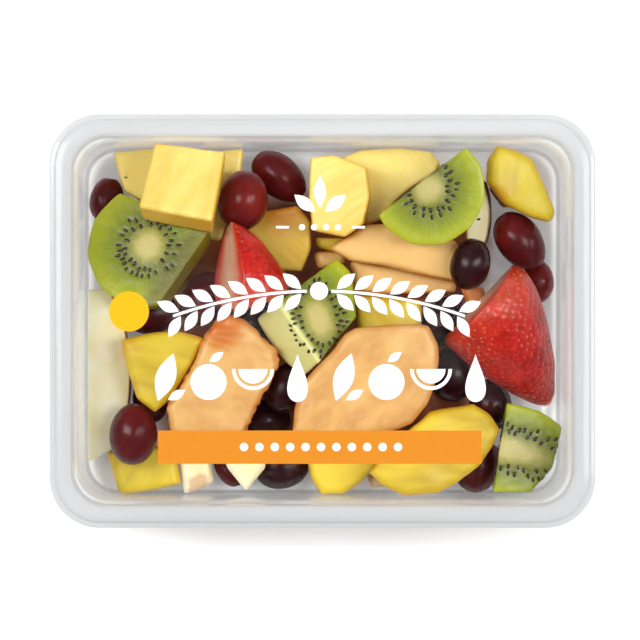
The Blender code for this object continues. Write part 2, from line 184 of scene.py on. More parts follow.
def blend(share, first, second):
    node = add("Mix", {"data_type": "RGBA"})
    for value, index in ((share, 0), (colour_of(first), 6), (colour_of(second), 7)):
        connect(value, node.inputs[index])
    return node.outputs[2]


def sums(how, *values):
    node = add("Math", {"operation": how})
    for value, socket in zip(values, node.inputs):
        connect(value, socket)
    return node.outputs[0]


def ramp(value, stops, smooth="LINEAR"):
    node = add("ValToRGB", Fac=value)
    node.color_ramp.interpolation = smooth
    while len(node.color_ramp.elements) < len(stops):
        node.color_ramp.elements.new(0.5)
    for element, (place, colour) in zip(node.color_ramp.elements, stops):
        element.position = place
        element.color = colour_of(colour)
    return node.outputs["Color"]


def clouds(vector, scale, detail, stretch=None):
    """Soft noise from 0 to 1 over a vector, which can be stretched first."""
    if stretch:
        vector = add("Mapping", Vector=vector, Scale=stretch).outputs[0]
    return add("TexNoise", Vector=vector, Scale=scale, Detail=detail).outputs["Fac"]


def bumps(height, strength, distance, **under):
    """Relief from a height, at most a distance in mm high, over other relief if it is given."""
    return add("Bump", Height=height, Strength=strength, Distance=distance * MM, **under).outputs[0]


def moist(rough, coat, depth, glow, weight):
    """The wet look that all cut fruit shares: a thin film of juice over flesh that lets light in."""
    put(shader, Roughness=rough, Coat_Weight=coat, Coat_Roughness=0.18, Specular_IOR_Level=0.3,
        Subsurface_Weight=weight, Subsurface_Radius=glow, Subsurface_Scale=depth * MM)


print("material helpers ready")

# %% [markdown]
# ## The finish of a grape
# A dark grape is not black: under a thin wax bloom its skin goes from deep red to nearly purple black.
# The bloom is a grey mauve veil in patches, and it makes the highlights wide and soft. So the colour is a
# blend of skin colours by a slow noise, with the veil over it, and the roughness rises where the veil is
# thicker. The stored value "tone" shifts each grape between the redder and the darker sort.

# %% Grape skin
def grape_skin():
    made = new_material("grape_skin")
    grain, tone = stored("grain"), stored("tone", "Fac")
    redness = sums("MULTIPLY_ADD", clouds(grain, 0.09, 2), 0.9, sums("SUBTRACT", tone, 0.62))
    skin = ramp(redness, [(0.1, (36, 4, 8)), (0.5, (88, 12, 14)), (0.95, (128, 24, 18))])
    veil = ramp(clouds(grain, 0.35, 5), [(0.42, 0.0), (0.78, 0.08)])
    skin = blend(veil, skin, (128, 88, 104))
    specks = add("TexVoronoi", Vector=grain, Scale=0.75).outputs["Distance"]
    skin = blend(ramp(specks, [(0.05, 0.22), (0.10, 0.0)]), skin, (165, 105, 95))
    put(shader, Base_Color=skin, Roughness=ramp(veil, [(0.0, 0.22), (0.2, 0.36)]),
        Specular_IOR_Level=0.2, Normal=bumps(clouds(grain, 1.3, 3), 0.10, 0.2))
    return made


GRAPE_SKIN = grape_skin()

# %% [markdown]
# ## The finish of kiwi flesh
# Cut kiwi shows three zones: a cream core, a ring of darker, clearer green with the seeds, and a milkier
# green outside. Pale rays run out from the core through all three. The zones follow "whole", so they are
# right on any cut, across or along the fruit. The rays come from noise over the direction alone, which
# can't change along a ray. A stored value "shade" turns parts of a piece duller or paler: the dull olive
# on the far part of kiwi_left is painted shade, all of kiwi_right is a little duller, and one face of
# kiwi_centre is paler.

# %% Kiwi flesh
CORE_STRETCH = 0.72  # how much the way along the core counts, so that the core is longer than it is wide


def kiwi_flesh():
    made = new_material("kiwi_flesh")
    whole, grain = stored("whole"), stored("grain")
    drawn = add("Mapping", Vector=whole, Scale=(1, 1, CORE_STRETCH)).outputs[0]
    reach = add("VectorMath", {"operation": "LENGTH"}, Vector=drawn).outputs["Value"]
    flat = add("Mapping", Vector=whole, Scale=(1, 1, 0.5)).outputs[0]
    way = add("VectorMath", {"operation": "NORMALIZE"}, Vector=flat).outputs["Vector"]
    rays = clouds(way, 20, 3)
    fine_rays = clouds(way, 48, 2)
    wobble = sums("MULTIPLY_ADD", clouds(grain, 0.4, 3), 0.10, -0.05)
    reach = sums("ADD", sums("ADD", reach, wobble), sums("MULTIPLY_ADD", rays, 0.12, -0.06))
    flesh = ramp(reach, [
        (0.00, (200, 187, 122)), (0.17, (190, 178, 106)), (0.27, (140, 140, 56)), (0.36, (94, 102, 16)),
        (0.50, (108, 120, 14)), (0.66, (134, 146, 10)), (0.84, (164, 172, 18)), (1.0, (176, 182, 40)),
    ])
    window = ramp(reach, [(0.16, 0.0), (0.28, 0.8), (0.5, 0.5), (0.8, 0.05)])
    pale = ramp(rays, [(0.52, 0.0), (0.72, 0.5)])
    pale = sums("MAXIMUM", pale, ramp(fine_rays, [(0.54, 0.0), (0.72, 0.6)]))
    flesh = blend(sums("MULTIPLY", pale, window), flesh, (170, 168, 84))
    # painted shade: above 0, "shade" turns the flesh towards a dull olive; below 0, towards a pale green
    for sign, colour in ((1.0, (92, 84, 36)), (-1.0, (214, 214, 138))):
        share = sums("MULTIPLY", stored("shade", "Fac"), sign)
        flesh = blend(sums("MAXIMUM", share, 0.0), flesh, colour)
    moist(0.36, 0.14, 2.5, (0.6, 1.0, 0.25), 0.12)
    relief = bumps(rays, 0.25, 0.6)
    put(shader, Base_Color=flesh, Normal=bumps(clouds(grain, 1.6, 4), 0.25, 0.4, Normal=relief))
    return made


KIWI_FLESH = kiwi_flesh()

# %% [markdown]
# ## The finish of seeds
# Kiwi seeds are almost black and glossy. The tiny seeds on a strawberry's skin go from red brown to
# straw. Both are real shapes here, so the finish only has to vary the colour a little from seed to seed,
# which noise over the grain does. The dry scar where a grape's stalk was is finished in the same way.

# %% Seeds and scars
def seed_finish(name, dark, light, rough):
    made = new_material(name)
    colour = blend(clouds(stored("grain"), 0.5, 2), dark, light)
    put(shader, Base_Color=colour, Roughness=rough)
    return made


KIWI_SEED = seed_finish("kiwi_seed", (20, 14, 14), (66, 44, 34), 0.22)
BERRY_SEED = seed_finish("strawberry_seed", (150, 44, 18), (224, 142, 64), 0.35)
STALK_SCAR = seed_finish("stalk_scar", (120, 82, 56), (196, 160, 116), 0.7)

# %% [markdown]
# ## The finish of a strawberry
# Outside, "whole" is 1, and the skin is a wet, saturated red that pales towards the leaves. Inside, the
# flesh goes from a pale pink middle to a red rim with light streaks in it. One network does both: a ramp
# over the distance from the middle gives the flesh, and close to 1 it changes to the skin.

# %% Strawberry
def strawberry_finish():
    made = new_material("strawberry_flesh_and_skin")
    whole, grain = stored("whole"), stored("grain")
    parts = add("SeparateXYZ", Vector=whole).outputs
    squares = [sums("POWER", parts[name], 2.0) for name in "XY"]
    reach = sums("SQRT", sums("ADD", *squares))
    streaks = clouds(grain, 0.55, 4, (1, 1, 0.35))
    inner = sums("ADD", reach, sums("MULTIPLY_ADD", streaks, 0.36, -0.18))
    flesh = ramp(inner, [
        (0.0, (222, 178, 150)), (0.35, (216, 160, 128)), (0.62, (212, 122, 92)), (0.80, (214, 62, 36)),
        (1.0, (206, 34, 22)),
    ])
    shoulder = ramp(parts["Z"], [(0.05, 1.0), (0.30, 0.0)])
    patch = clouds(grain, 0.16, 3)
    skin = ramp(patch, [(0.3, (146, 4, 4)), (0.55, (178, 10, 6)), (0.8, (204, 30, 16))])
    mottle = ramp(clouds(grain, 1.0, 3), [(0.48, 0.0), (0.72, 0.55)])
    skin = blend(mottle, skin, (216, 70, 44))
    skin = blend(sums("MULTIPLY", shoulder, 0.4), skin, (214, 84, 50))
    is_skin = ramp(reach, [(0.93, 0.0), (0.965, 1.0)])
    moist(0.30, 0.18, 2.0, (1.0, 0.25, 0.15), 0.12)
    put(shader, Base_Color=blend(is_skin, flesh, skin),
        Normal=bumps(clouds(grain, 1.2, 4), 0.3, 0.4))
    return made


STRAWBERRY = strawberry_finish()

# %% [markdown]
# ## The finishes of pineapple, mango and melon
# All three are yellow to orange flesh, and what tells them apart is the grain. Pineapple has long pale
# fibres with clear juice between them, mango is smooth with slow changes, and melon is fine and even. One
# function serves: a slow noise blends two flesh colours, a stretched noise lays the fibres over them, and
# the same fibres drive the bump. Steep faces of a chunk and a few spots are painted a deeper amber as
# painted shade, and a stored value says where. On one melon piece, a spot is its orange seed cavity.

# %% Yellow and orange flesh
# amber is the colour of the painted shade on steep faces and in shaded spots, and of one melon piece's seed
# cavity
def flesh_finish(name, amber, deep, light, fibre, fibre_share, stretch, scale, rough, glow):
    made = new_material(name)
    grain, tone = stored("grain"), stored("tone", "Fac")
    drift = sums("MULTIPLY_ADD", clouds(grain, 0.12, 2, stretch), 0.9, -0.2)
    slow = sums("MULTIPLY_ADD", tone, 0.5, drift)
    colour = ramp(slow, [(0.1, deep), (0.62, light)], "EASE")
    threads = clouds(grain, scale, 4, stretch)
    colour = blend(ramp(threads, [(0.46, 0.0), (0.68, fibre_share)]), colour, fibre)
    colour = blend(ramp(threads, [(0.30, 0.55 * fibre_share), (0.44, 0.0)]), colour, deep)
    # painted shade: steep faces and shaded spots turn towards amber
    colour = blend(stored("shade_and_cavity", "Fac"), colour, amber)
    moist(rough, 0.09, 3.0, glow, 0.25)
    relief = bumps(threads, 0.35, 0.3)
    put(shader, Base_Color=colour, Normal=bumps(clouds(grain, 2.2, 4), 0.25, 0.3, Normal=relief))
    return made


PINEAPPLE = flesh_finish(
    "pineapple_flesh", (222, 164, 0), (232, 196, 92), (248, 224, 124), (246, 226, 154), 0.30,
    (1.0, 0.14, 1.0), 0.9, 0.36, (1.0, 0.75, 0.2),
)
# A darker, more golden copy of the pineapple flesh, as painted shade, for the chunk that lies in shade.
SHADED_PINEAPPLE = flesh_finish(
    "shaded_pineapple_flesh", (206, 130, 6), (200, 158, 44), (220, 186, 76), (230, 202, 100), 0.25,
    (1.0, 0.14, 1.0), 0.6, 0.36, (1.0, 0.7, 0.2),
)
MANGO = flesh_finish(
    "mango_flesh", (206, 140, 4), (186, 156, 30), (232, 208, 60), (230, 204, 76), 0.22,
    (1.0, 0.3, 1.0), 0.35, 0.38, (1.0, 0.7, 0.15),
)
MELON = flesh_finish(
    "melon_flesh", (196, 104, 16), (202, 150, 84), (228, 184, 110), (226, 188, 132), 0.22,
    (1.0, 0.55, 1.0), 0.5, 0.38, (1.0, 0.6, 0.25),
)

# %% [markdown]
# ## The finish of apple
# Apple flesh is cream and a touch greener towards the skin. Small apple pieces are painted browner on
# their steep faces and in shaded spots, as painted shade. The wedge's round side still has its skin. As
# with the strawberry, the distance from the fruit's middle decides where the flesh ends and the skin begins.

# %% Apple
def apple_finish():
    made = new_material("apple_flesh_and_skin")
    whole, grain = stored("whole"), stored("grain")
    reach = add("VectorMath", {"operation": "LENGTH"}, Vector=whole).outputs["Value"]
    slow = clouds(grain, 0.10, 4)
    flesh = ramp(slow, [(0.3, (246, 232, 176)), (0.5, (252, 244, 200)), (0.7, (254, 249, 220))])
    flesh = blend(ramp(reach, [(0.84, 0.0), (0.955, 0.5)]), flesh, (234, 220, 140))
    # painted shade: steep faces and shaded spots of small apple pieces turn browner
    flesh = blend(sums("MULTIPLY", stored("shade_and_cavity", "Fac"), 0.55), flesh, (186, 122, 78))
    streaks = clouds(grain, 0.25, 4, (1, 1, 0.3))
    flush = ramp(streaks, [(0.35, (128, 84, 44)), (0.65, (96, 44, 28))])
    is_skin = ramp(reach, [(0.955, 0.0), (0.975, 1.0)])
    moist(0.42, 0.15, 2.0, (1.0, 0.85, 0.5), 0.15)
    put(shader, Base_Color=blend(is_skin, flesh, flush),
        Normal=bumps(clouds(grain, 1.8, 5), 0.3, 0.3))
    return made


APPLE = apple_finish()

# %% [markdown]
# ## Words for shapes
# The frame's pieces are plain blocks. Real cut fruit has soft edges and a slightly uneven surface. The
# way from one to the other is the same for every piece: a voxel remesh gives an even net of small faces,
# a few rounds of smoothing take the edge off, and then each point is moved a little along its normal. The
# moves are worked out with numpy for all points at once.

# %% Helpers for shapes
COARSE = 1.0
LOT = Random(20)


def new_mesh(bm):
    mesh = bpy.data.meshes.new("shape")
    bm.to_mesh(mesh)
    bm.free()
    return mesh


def join(bm, rings):
    """Faces from each ring of corners to the next."""
    for low, high in zip(rings, rings[1:]):
        for i in range(len(low)):
            j = (i + 1) % len(low)
            bm.faces.new((low[i], low[j], high[j], high[i]))


def fan(bm, ring, tip):
    for i in range(len(ring)):
        bm.faces.new((ring[i], ring[(i + 1) % len(ring)], tip))


def softened(mesh, voxel, rounds):
    """The same form with an even net of faces and softer edges."""
    holder = linked("holder", mesh)
    net = holder.modifiers.new("even_net", "REMESH")
    net.mode = "VOXEL"
    net.voxel_size = voxel * MM * COARSE
    soft = holder.modifiers.new("soft_edges", "SMOOTH")
    soft.factor, soft.iterations = 0.5, rounds
    result = bpy.data.meshes.new_from_object(holder.evaluated_get(bpy.context.evaluated_depsgraph_get()))
    bpy.data.objects.remove(holder)
    return result


def vectors(items, name):
    found = np.empty(len(items) * 3, np.float32)
    items.foreach_get(name, found)
    return found.reshape(-1, 3).astype(float)


def points_of(mesh):
    return vectors(mesh.vertices, "co")


def normals_of(mesh):
    return vectors(mesh.vertex_normals, "vector")


def set_points(mesh, points):
    mesh.vertices.foreach_set("co", points.astype(np.float32).ravel())
    mesh.update()


def move_out(mesh, distances):
    """Moves each point along its normal, by distances in mm."""
    set_points(mesh, points_of(mesh) + normals_of(mesh) * (np.asarray(distances) * MM)[:, None])


def rough_noise(points, scale, seed=0.0):
    """Noise from -1 to 1 at points in mm."""
    shift = Vector((seed * 7.3, seed * 3.1, seed * 5.7))
    return np.array([noise.noise(Vector(p) * scale + shift) for p in points])


def mound(away, height, width):
    """A soft round mound, from the distances to its middle."""
    return height * np.exp(-((away / width) ** 2))


def off_pixel(points, pixel):
    """How far points, in mm, are from a place in the picture, seen from above."""
    x, y = at_pixel(pixel)
    return np.hypot(points[:, 0] - x / MM, points[:, 1] - y / MM)


print("shape helpers ready, quick look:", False)

# %% [markdown]
# ## Stored values, and showing a piece
# The finishes read values that are stored on each mesh, so these are written here. The tones say how dark
# or pale each piece is in the picture, and a piece that isn't named gets a tone by chance. A finished
# mesh is then shown: it gets its finish and its place, and stands for its node of the frame.

# %% Stored values and pieces
TONES = {
    # from 0, dark or deep, to 1, red or pale; pineapple_corner and mango_bottom lie in shade and get paler
    # tones, as painted light against it
    "grape_upper_left": 0.80, "grape_top": 0.66, "grape_upper_right": 0.62, "grape_lower_left": 0.55,
    "grape_corner": 0.75, "grape_right_wall": 0.85, "grape_right": 0.18, "grape_bottom": 0.02,
    "grape_middle": 0.05, "grape_centre": 0.05, "grape_middle_low": 0.12, "grape_bottom_left": 0.45,
    "grape_right_mid": 0.1, "grape_right_low": 0.2, "grape_right_high": 0.1, "grape_under_kiwi": 0.35,
    "pineapple_corner": 1.0, "pineapple_back": 0.8, "pineapple_front": 0.3, "pineapple_mid": 0.1,
    "pineapple_mid_back": 0.8, "mango_left": 0.0, "mango_bottom": 0.7, "mango_bottom_right": 0.15,
    "mango_bottom_left": 0.5, "mango_top_right": 0.5, "melon_mid_top": 1.0, "melon_mid_low": 0.9,
    "melon_big": 0.1, "melon_left": 0.2,
}


def store(mesh, name, values):
    values = np.asarray(values, np.float32)
    vector = values.ndim == 2
    layer = mesh.attributes.new(name, "FLOAT_VECTOR" if vector else "FLOAT", "POINT")
    layer.data.foreach_set("vector" if vector else "value", values.ravel())


def store_grain(mesh, node=""):
    """Stores where each point is in the flesh, in mm, turned and moved by chance so that no two match."""
    turned = Matrix.Rotation(LOT.uniform(0, pi), 3, "Z")
    shift = [LOT.uniform(0, 400) for _ in range(3)]
    store(mesh, "grain", points_of(mesh) / MM @ np.array(turned.transposed()) + shift)
    store(mesh, "tone", np.full(len(mesh.vertices), TONES.get(node, LOT.uniform(0.25, 0.75))))


def show(name, mesh, material, place=None, stands_for=()):
    """Puts a finished mesh into the tray as a piece of its own."""
    mesh.materials.clear()
    mesh.materials.append(material)
    mesh.shade_smooth()
    if place is not None:
        mesh.transform(place)
    piece = linked(name, mesh)
    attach(piece, "root")
    if stands_for:
        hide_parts(*stands_for)
    return piece


print("tones:", len(TONES))

# %% [markdown]
# ## Grapes
# A grape is an egg with its stalk end a little blunter, a small pit with a pale scar where the stalk was,
# and a skin that is never quite even. Each grape's middle, length and direction are measured from its
# node: the farthest pair of points of that solid are its two ends. A fine sphere is then stretched onto
# those measures. The scar is at the end that is higher in the picture, or at the other one for the few
# grapes named below.

# %% Grapes
SCAR_END_DOWN = {"grape_bottom_left", "grape_top", "grape_upper_right"}
SCAR_RINGS = [(0.45, 0.05), (0.8, 0.22), (1.15, 0.10), (1.35, -0.25)]  # radius and height, in mm
SCAR_STEPS = 14
SCAR_SINK = 0.85 * MM


def grape(node):
    points = points_of(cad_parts[node].data)
    apart = ((points[:, None, :] - points[None, :, :]) ** 2).sum(2)
    first, second = (Vector(points[i]) for i in np.unravel_index(apart.argmax(), apart.shape))
    if (first.y < second.y) != (node in SCAR_END_DOWN):
        first, second = second, first
    axis = (first - second).normalized()
    middle, length = (first + second) / 2, (first - second).length
    points = points - np.array(middle)
    off_axis = points - np.outer(points @ np.array(axis), np.array(axis))
    width = 2 * np.sqrt((off_axis ** 2).sum(1).max())
    bm = bmesh.new()
    bmesh.ops.create_uvsphere(bm, u_segments=48, v_segments=32, radius=1)
    mesh = new_mesh(bm)
    ball = points_of(mesh)
    uneven = 1 + 0.018 * rough_noise(ball, 1.3, LOT.uniform(0, 9))
    shape = ball * np.array([width / 2, width / 2, length / 2]) * uneven[:, None]
    shape[:, :2] *= (1 - 0.05 * ball[:, 2])[:, None]
    off_stalk = np.hypot(ball[:, 0], ball[:, 1]) * width / 2 / MM
    pit = np.where(ball[:, 2] > 0, mound(off_stalk, 0.9, 1.5), mound(off_stalk, 0.25, 0.8))
    shape[:, 2] -= np.sign(ball[:, 2]) * pit * MM
    set_points(mesh, shape)
    store_grain(mesh, node)
    place = Matrix.Translation(middle) @ axis.to_track_quat("Z", "Y").to_matrix().to_4x4()
    show(node + "_fruit", mesh, GRAPE_SKIN, place, [node])
    show(node + "_scar", scar_mesh(length / 2 - SCAR_SINK), STALK_SCAR, place)


def scar_mesh(height):
    """A small ragged disc with a raised rim, where the stalk was pulled off."""
    bm = bmesh.new()
    loops = []
    for out, up in SCAR_RINGS:
        loops.append([])
        for i in range(SCAR_STEPS):
            turn, ragged = 2 * pi * i / SCAR_STEPS, out * (1 + 0.12 * LOT.uniform(-1, 1)) * MM
            loops[-1].append(bm.verts.new((ragged * cos(turn), ragged * sin(turn), height + up * MM)))
    fan(bm, loops[0], bm.verts.new((0, 0, height)))
    fan(bm, loops[-1][::-1], bm.verts.new((0, 0, height - 0.5 * MM)))
    join(bm, loops[::-1])
    mesh = new_mesh(bm)
    store_grain(mesh)
    return mesh


for node in sorted(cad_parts):
    if node.startswith("grape"):
        grape(node)

# %% [markdown]
# ## Blocks of pineapple, mango, melon and apple
# These were cut with straight strokes, so their form is the frame's block, and only its surface is
# missing. The kinds differ in how soft the edges are and in the relief. Pineapple keeps crisp edges and
# stands up in fibres along one direction. Mango and melon are slippery and round off. The relief is real
# geometry, with only the finest part left to the bump.

# %% Blocks
KINDS = {
    # kind: voxel mm, smoothing rounds, slow unevenness mm, fibre height mm, how much painted shade its steep
    # faces get, finish
    "pineapple": (0.55, 4, 0.30, 0.10, 0.85, PINEAPPLE),
    "mango": (0.70, 6, 0.45, 0.06, 0.75, MANGO),
    "melon": (0.70, 5, 0.40, 0.08, 0.85, MELON),
    "apple": (0.55, 4, 0.20, 0.04, 0.12, APPLE),
}
# pineapple_golden lies in shade and gets the darker copy of the pineapple flesh, as painted shade
OWN_FINISH = {"pineapple_golden": SHADED_PINEAPPLE}
CARVED_APPLES = ["apple_wedge_left", "apple_wedge_right"]
FULLER = 0.45  # mm that each block is pressed outwards, which closes the narrowest gaps
STRANDS = 1.5  # mm, the height of the seed cavity's strands that are left on one melon piece
AMBER_SPOTS = {
    # node: (place in the picture, its radius in mm, how strong it is); a spot of painted shade, except
    # melon_left's, which is its seed cavity
    "melon_left": ((221, 330), 7.0, 0.9),
    "mango_left": ((121, 338), 7.0, 0.3),
    "pineapple_golden": ((280, 208), 8.0, 0.8),
    "melon_right": ((455, 300), 20.0, 0.8),
    "apple_chip": ((372, 484), 12.0, 1.0),
    "apple_bottom_left": ((196, 487), 3.5, 1.6),
    "mango_top_right": ((498, 196), 6.0, 0.6),
}


def shade_and_cavity_of(node, amber, mesh, middle):
    """How much painted amber shade each point gets: more on steep faces, and near the node's amber spot."""
    steep = np.clip(1.28 - 1.5 * normals_of(mesh)[:, 2], 0, 1) * amber
    if node not in AMBER_SPOTS:
        return steep
    pixel, radius, strength = AMBER_SPOTS[node]
    points = points_of(mesh) / MM
    away = off_pixel(points + np.array(middle) / MM, pixel) + 1.5 * rough_noise(points, 0.3)
    return np.clip(steep + strength * np.exp(-((away / radius) ** 4)), 0, 1)


def block(node, kind):
    voxel, rounds, slow, fibre, amber, material = KINDS[kind]
    low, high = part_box(node)
    middle = (low + high) / 2
    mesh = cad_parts[node].data.copy()
    mesh.transform(Matrix.Translation(-middle))
    mesh = softened(mesh, voxel, rounds)
    store_grain(mesh, node)
    # painted shade, stored for the finish: amber on steep faces and at the node's spot
    shade_and_cavity = shade_and_cavity_of(node, amber, mesh, middle)
    store(mesh, "shade_and_cavity", shade_and_cavity)
    grain = vectors(mesh.attributes["grain"].data, "vector")
    fibres = rough_noise(grain * [1.0, 0.14, 1.0], 0.62) * fibre
    if node == "melon_left":
        fibres = fibres + STRANDS * shade_and_cavity * rough_noise(grain * [1.0, 0.3, 1.0], 0.45)
    move_out(mesh, rough_noise(grain, 0.11) * slow + FULLER + fibres)
    store(mesh, "whole", np.full((len(mesh.vertices), 3), 0.3))
    show(node + "_fruit", mesh, OWN_FINISH.get(node, material), Matrix.Translation(middle), [node])


for node in sorted(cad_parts):
    kind = node.split("_")[0]
    if kind in KINDS and node not in CARVED_APPLES:
        block(node, kind)

# %% [markdown]
# ## Pieces carved from a whole fruit
# A kiwi slice only looks right if one knows where in the kiwi it was. So the kiwis, the strawberries and
# the apple wedges start as a whole fruit, in the fruit's own frame with its core along Z, and are cut
# with knives: each knife is a direction, as seen in the tray, and its distance from the fruit's middle in
# mm. The rows repeat the ones that the frame's solids were made with. The place comes from the node's
# box.

# %% Whole fruit and knives
UP, DOWN, NORTH, SOUTH, WEST = (0, 0, 1), (0, 0, -1), (0, 1, 0), (0, -1, 0), (-1, 0, 0)
CARVED = {
    # node: (axis, face, sizes in mm, knives)
    "apple_wedge_left": (NORTH, UP, (50, 52, 90), [
        (WEST, -10.5), ((0.12, 0, 1), 3), ((-0.2, 0, -1), 12), ((-1, 0, -1), 0.4), (NORTH, 31),
        ((0.47, -0.88, 0), 31.5)]),
    "apple_wedge_right": (NORTH, UP, (70, 68, 70), [
        (WEST, -25), ((0.1, 0, 1), 5), ((-0.15, 0, -1), 8), (NORTH, 12), (SOUTH, 10.5)]),
    "kiwi_centre": ((0.40, -0.70, 0.59), (0.30, 0.25, 0.92), (40, 40, 54), [
        ((0.30, 0.22, 0.93), 2), ((-0.62, -0.42, 0.66), 10), ((1, 0.1, 0), 14), ((-0.2, -0.2, -1), 12),
        ((-0.6, 0.8, 0), 12), ((0.747, -0.665, -0.1), 11)]),
    "kiwi_left": ((-0.20, 0.20, 0.96), (0.3, 1, 0), (44, 44, 60), [
        ((-0.20, 0.20, 0.96), 2), ((0.20, -0.20, -0.96), 9), ((0.375, 0.927, 0), 13.8),
        ((0.75, -0.5, 0.25), 15.5)]),
    "kiwi_right": ((0.05, -0.05, 1), (0.3, 1, 0), (40, 40, 56), [
        ((0.05, -0.05, 1), 2), (DOWN, 10), ((-0.61, 0.79, 0), 3.3)]),
    "kiwi_bottom_right": ((0.95, -0.24, -0.2), UP, (35, 35, 60), [
        ((0.2, 0, 1), 0.5), ((-0.966, 0.15, 0), -1), ((0.966, -0.259, 0), 20.5), ((-0.1, 0, -1), 13),
        ((0.2, 0.97, 0), 15.6), ((0.75, -0.66, 0), 19.5), (SOUTH, 16)]),
    "strawberry_left": ((-0.22, 0.95, 0.15), (-0.93, 0, 0.37), (32, 30), [
        ((-0.93, 0, 0.37), 7), ((0.3, 0, -1), 8)]),
    "strawberry_right": ((0.53, -0.80, -0.27), UP, (38, 52), [
        ((0, 0.2, -1), 7), ((-0.743, 0.667, 0.1), -5.8)]),
}


def lie(node):
    """The rotation that lays local Z along the fruit's axis, with local X as near its face as it can be."""
    axis, face, _, _ = CARVED[node]
    z = Vector(axis).normalized()
    x = (Vector(face) - Vector(face).dot(z) * z).normalized()
    return Matrix((x, z.cross(x), z)).transposed()


def knives_of(node):
    """The knives in the fruit's own frame: (direction, distance in mm)."""
    back = lie(node).transposed()
    return [((back @ Vector(way)).normalized(), distance) for way, distance in CARVED[node][3]]


def carve(node, bm, voxel, rounds):
    """Cuts a whole fruit with the node's knives and gives the soft-edged mesh."""
    for way, distance in knives_of(node):
        bmesh.ops.recalc_face_normals(bm, faces=bm.faces[:])
        everything = bm.verts[:] + bm.edges[:] + bm.faces[:]
        done = bmesh.ops.bisect_plane(
            bm, geom=everything, dist=0.01 * MM, plane_co=way * distance * MM, plane_no=way, clear_outer=True
        )
        rim = [e for e in done["geom_cut"] if isinstance(e, bmesh.types.BMEdge)]
        bmesh.ops.edgeloop_fill(bm, edges=rim)
    bmesh.ops.recalc_face_normals(bm, faces=bm.faces[:])
    bmesh.ops.triangulate(bm, faces=bm.faces[:])
    return softened(new_mesh(bm), voxel, rounds)


def place_of(node, mesh):
    """The rotation of the whole fruit, moved so that the piece fills its node's box."""
    turned = lie(node)
    points = points_of(mesh) @ np.array(turned.transposed())
    low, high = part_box(node)
    middle = Vector((points.min(0) + points.max(0)) / 2)
    return Matrix.Translation((low + high) / 2 - middle) @ turned.to_4x4()


def whole_ball(sizes):
    bm = bmesh.new()
    bmesh.ops.create_uvsphere(bm, u_segments=96, v_segments=64, radius=1)
    bmesh.ops.scale(bm, vec=[s / 2 * MM for s in sizes], verts=bm.verts[:])
    return bm


def inside_knives(point, knives, margin):
    """Whether a point, in mm, is inside every knife by a margin."""
    return all(way.dot(point) < distance - margin for way, distance in knives)


print("carved pieces:", len(CARVED))

# %% [markdown]
# ## Seeds as real shapes
# A seed is a flat egg a millimetre or two long. All seeds of one piece are one mesh: a small ball is
# copied to every place, turned so that its length points the right way. The same function makes the
# kiwi's seeds and the strawberry's, which differ only in size. The flesh is then shaped by how far it is
# from the nearest seed.

# %% Seeds as shapes
def seeds_mesh(spots, sizes):
    """spots are (place in mm, way of the long side, way out), sizes are length, width and height."""
    bm = bmesh.new()
    for place, along, out in spots:
        side = out.cross(along).normalized()
        along = side.cross(out).normalized()
        scale = LOT.uniform(0.85, 1.12)
        turned = Matrix((along, side, out.normalized())).transposed().to_4x4()
        sized = Matrix.Diagonal([s / 2 * scale * MM for s in sizes] + [1])
        seed = bmesh.ops.create_uvsphere(bm, u_segments=10, v_segments=7, radius=1)["verts"]
        for v in seed:
            v.co.yz *= 1 - 0.28 * v.co.x
        bmesh.ops.transform(bm, matrix=Matrix.Translation(place * MM) @ turned @ sized, verts=seed)
    mesh = new_mesh(bm)
    store_grain(mesh)
    return mesh


def to_nearest(spots, points):
    """How far each point, in mm, is from the nearest seed."""
    seeds = kdtree.KDTree(len(spots))
    for i, spot in enumerate(spots):
        seeds.insert(spot[0], i)
    seeds.balance()
    return np.array([seeds.find(Vector(p))[2] for p in points])


print("seed shapes ready")

# %% [markdown]
# ## Kiwi
# The peeled outside of a kiwi has long flats from the peeler, so the round of the fruit is pressed in a
# little between slight ridges. On every cut face the seeds lie in a ring round the core. They are
# scattered over the face by chance, kept where the whole fruit has its seeds and where no other seed is
# too near, and point away from the core.

# %% Kiwis
SEED_ZONE = (0.33, 0.53)  # from the core, as a share of the kiwi's radius
SEED_GAP, SEED_MARGIN = 1.75, 0.8  # mm, to the next seed and to the face's edge
SEED_TRIES, TRY_REACH = 2600, 30
KIWI_SEED_SIZE = (2.0, 1.05, 0.75)
PEELER_FLATS = 11
LONG_CORE = {"kiwi_bottom_right": 0.6}  # a share of CORE_STRETCH, for a still longer core
BELOW, ABOVE = -30, 99  # mm, past the end of every piece
SHADES = {
    # node: (direction, where the change starts in mm, how wide it is, how dull, or how pale if below 0);
    # kiwi_left's dulling is painted shade
    "kiwi_left": ((0.80, -0.50, 0.20), 6.5, 5, 0.75),
    "kiwi_centre": ((-0.62, -0.42, 0.66), 7.6, 1.8, -1.0),
    "kiwi_right": (UP, BELOW, 1, 0.10),
    "kiwi_bottom_right": (UP, ABOVE, 1, 0.0),
}


def kiwi_seed_spots(node):
    radii = Vector(s / 2 for s in CARVED[node][2])
    knives = knives_of(node)
    spots = []
    for i, (way, distance) in enumerate(knives):
        others = knives[:i] + knives[i + 1 :]
        across = way.orthogonal().normalized()
        upward = way.cross(across)
        for _ in range(SEED_TRIES):
            aside, ahead = LOT.uniform(-TRY_REACH, TRY_REACH), LOT.uniform(-TRY_REACH, TRY_REACH)
            point = way * distance + across * aside + upward * ahead
            drawn = CORE_STRETCH * LONG_CORE.get(node, 1.0) * point.z / radii.z
            reach = Vector((point.x / radii.x, point.y / radii.y, drawn)).length
            out = Vector((point.x, point.y, 0.25 * point.z))
            if not SEED_ZONE[0] < reach < SEED_ZONE[1] or not inside_knives(point, others, SEED_MARGIN):
                continue
            if all((point - spot[0]).length > SEED_GAP for spot in spots):
                spots.append((point, out - way * out.dot(way), way))
    return spots


